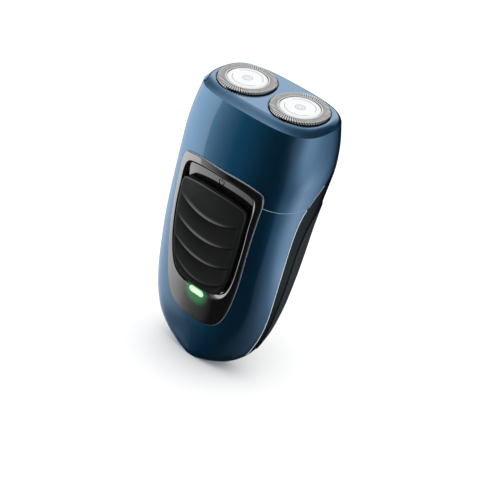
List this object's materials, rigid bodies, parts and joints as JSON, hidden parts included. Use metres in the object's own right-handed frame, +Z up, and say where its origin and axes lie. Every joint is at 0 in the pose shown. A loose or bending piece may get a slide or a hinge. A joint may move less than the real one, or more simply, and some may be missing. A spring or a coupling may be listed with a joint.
{
  "type": "electric shaver",
  "caption": "Slim rotary travel shaver with round floating slotted heads in a lift-off top, a ridged thumb slider, a charge light and a socket in the base.",
  "frame": {"origin": "middle of the flat base that the shaver stands on, under the middle of the two heads", "axes": "+Z up from the base to the heads, +X along the pair of heads (user's right when facing the slider), -Y out of the front with the slider"},
  "size_m": [0.0582, 0.0413, 0.1162],
  "materials": {
    "shell_blue": "gloss metallic blue moulding",
    "cover_black": "gloss black moulding",
    "grip_rubber": "matt dark grey soft grip",
    "panel_black": "gloss black moulding",
    "slider_grey": "satin dark grey moulding",
    "guard_steel": "turned and slotted steel",
    "disc_silver": "satin silver disc",
    "cutter_steel": "ground steel",
    "carrier_plastic": "natural moulding",
    "frame_grey": "satin grey moulding",
    "lock_blue": "satin blue moulding",
    "gear_plastic": "natural acetal moulding",
    "chassis_grey": "satin dark grey moulding",
    "motor_steel": "zinc plated steel",
    "motor_cap": "black moulding",
    "magnet": "sintered ferrite",
    "copper": "enamelled copper winding",
    "spring_steel": "bright spring wire",
    "cell_wrap": "green shrink wrap",
    "nickel": "nickel strip",
    "board_green": "solder resist",
    "component_black": "moulded component",
    "led_green": "lit green light-emitting diode",
    "lens_green": "lit green light pipe",
    "socket_black": "black moulding",
    "pin_brass": "bright brass",
    "screw_steel": "nickel plated steel",
    "wire_red": "insulated lead"
  },
  "bodies": {
    "handle": {"body_shell": "shell_blue", "rear_cover": "cover_black", "rear_grip": "grip_rubber", "front_panel": "panel_black", "switch_housing": "motor_cap", "circuit_board": "board_green", "board_components": "component_black", "charging_led": "led_green", "led_light_pipe": "lens_green", "chassis": "chassis_grey", "gear_plate": "chassis_grey", "gear_cover": "frame_grey", "gearbox_screws": "screw_steel", "motor_can": "motor_steel", "motor_end_cap": "motor_cap", "motor_terminals": "nickel", "motor_magnets": "magnet", "battery_cell_right": "cell_wrap", "battery_cell_left": "cell_wrap", "cell_straps": "nickel", "inlet_socket": "socket_black", "inlet_pins": "pin_brass", "cover_screws": "screw_steel", "motor_leads": "wire_red"},
    "power_slider": {"thumb_slider": "slider_grey", "slider_carrier": "carrier_plastic", "switch_knob": "component_black"},
    "shaving_head": {"head_shell": "shell_blue", "retaining_frame": "frame_grey"},
    "lock": {"frame_lock": "lock_blue"},
    "motor": {"motor_shaft": "cutter_steel", "motor_rotor": "copper", "pinion": "pin_brass"},
    "drive_left": {"drive_gear_left": "gear_plastic"},
    "drive_right": {"drive_gear_right": "gear_plastic"},
    "spindle_left": {"coupling_spindle_left": "gear_plastic", "spindle_spring_left": "spring_steel"},
    "spindle_right": {"coupling_spindle_right": "gear_plastic", "spindle_spring_right": "spring_steel"},
    "cap_left": {"guard_left": "guard_steel", "guard_disc_left": "disc_silver"},
    "cap_right": {"guard_right": "guard_steel", "guard_disc_right": "disc_silver"},
    "blades_left": {"cutter_left": "cutter_steel", "cutter_carrier_left": "carrier_plastic"},
    "blades_right": {"cutter_right": "cutter_steel", "cutter_carrier_right": "carrier_plastic"}
  },
  "joints": [
    {"name": "power_slide", "type": "slide", "parent": "handle", "child": "power_slider", "axis": [0, -0.0958, 0.9954], "range_m": [0, 0.0045]},
    {"name": "head_lift", "type": "slide", "parent": "handle", "child": "shaving_head", "axis": [0, -0.1564, 0.9877], "range_m": [0, 0.03]},
    {"name": "lock_turn", "type": "hinge", "parent": "shaving_head", "child": "lock", "pos_m": [0, 0.0011, 0.10659], "axis": [0, -0.1564, 0.9877], "range_deg": [0, 90]},
    {"name": "motor_spin", "type": "hinge", "parent": "handle", "child": "motor", "pos_m": [0, 0.00469, 0.08387], "axis": [0, -0.1564, 0.9877], "continuous": true},
    {"name": "cap_float_left", "type": "slide", "parent": "shaving_head", "child": "cap_left", "axis": [0, -0.1564, 0.9877], "range_m": [-0.0012, 0], "stiffness_N_per_m": 200, "springref_m": 0.002},
    {"name": "blades_spin_left", "type": "hinge", "parent": "cap_left", "child": "blades_left", "pos_m": [-0.013, 0.00031, 0.11152], "axis": [0, -0.1564, 0.9877], "continuous": true},
    {"name": "gear_spin_left", "type": "hinge", "parent": "handle", "child": "drive_left", "pos_m": [-0.013, 0.00282, 0.09572], "axis": [0, -0.1564, 0.9877], "continuous": true},
    {"name": "spindle_float_left", "type": "slide", "parent": "drive_left", "child": "spindle_left", "axis": [0, -0.1564, 0.9877], "range_m": [-0.0012, 0], "deforming": ["spindle_spring_left"]},
    {"name": "cap_float_right", "type": "slide", "parent": "shaving_head", "child": "cap_right", "axis": [0, -0.1564, 0.9877], "range_m": [-0.0012, 0], "stiffness_N_per_m": 200, "springref_m": 0.002},
    {"name": "blades_spin_right", "type": "hinge", "parent": "cap_right", "child": "blades_right", "pos_m": [0.013, 0.00031, 0.11152], "axis": [0, -0.1564, 0.9877], "continuous": true},
    {"name": "gear_spin_right", "type": "hinge", "parent": "handle", "child": "drive_right", "pos_m": [0.013, 0.00282, 0.09572], "axis": [0, -0.1564, 0.9877], "continuous": true},
    {"name": "spindle_float_right", "type": "slide", "parent": "drive_right", "child": "spindle_right", "axis": [0, -0.1564, 0.9877], "range_m": [-0.0012, 0], "deforming": ["spindle_spring_right"]}
  ],
  "couplings": [
    {"joint": "gear_spin_left", "follows": "motor_spin", "ratio": -0.3},
    {"joint": "blades_spin_left", "follows": "motor_spin", "ratio": -0.3},
    {"joint": "spindle_float_left", "follows": "cap_float_left", "ratio": 1},
    {"joint": "gear_spin_right", "follows": "motor_spin", "ratio": -0.3},
    {"joint": "blades_spin_right", "follows": "motor_spin", "ratio": -0.3},
    {"joint": "spindle_float_right", "follows": "cap_float_right", "ratio": 1}
  ]
}
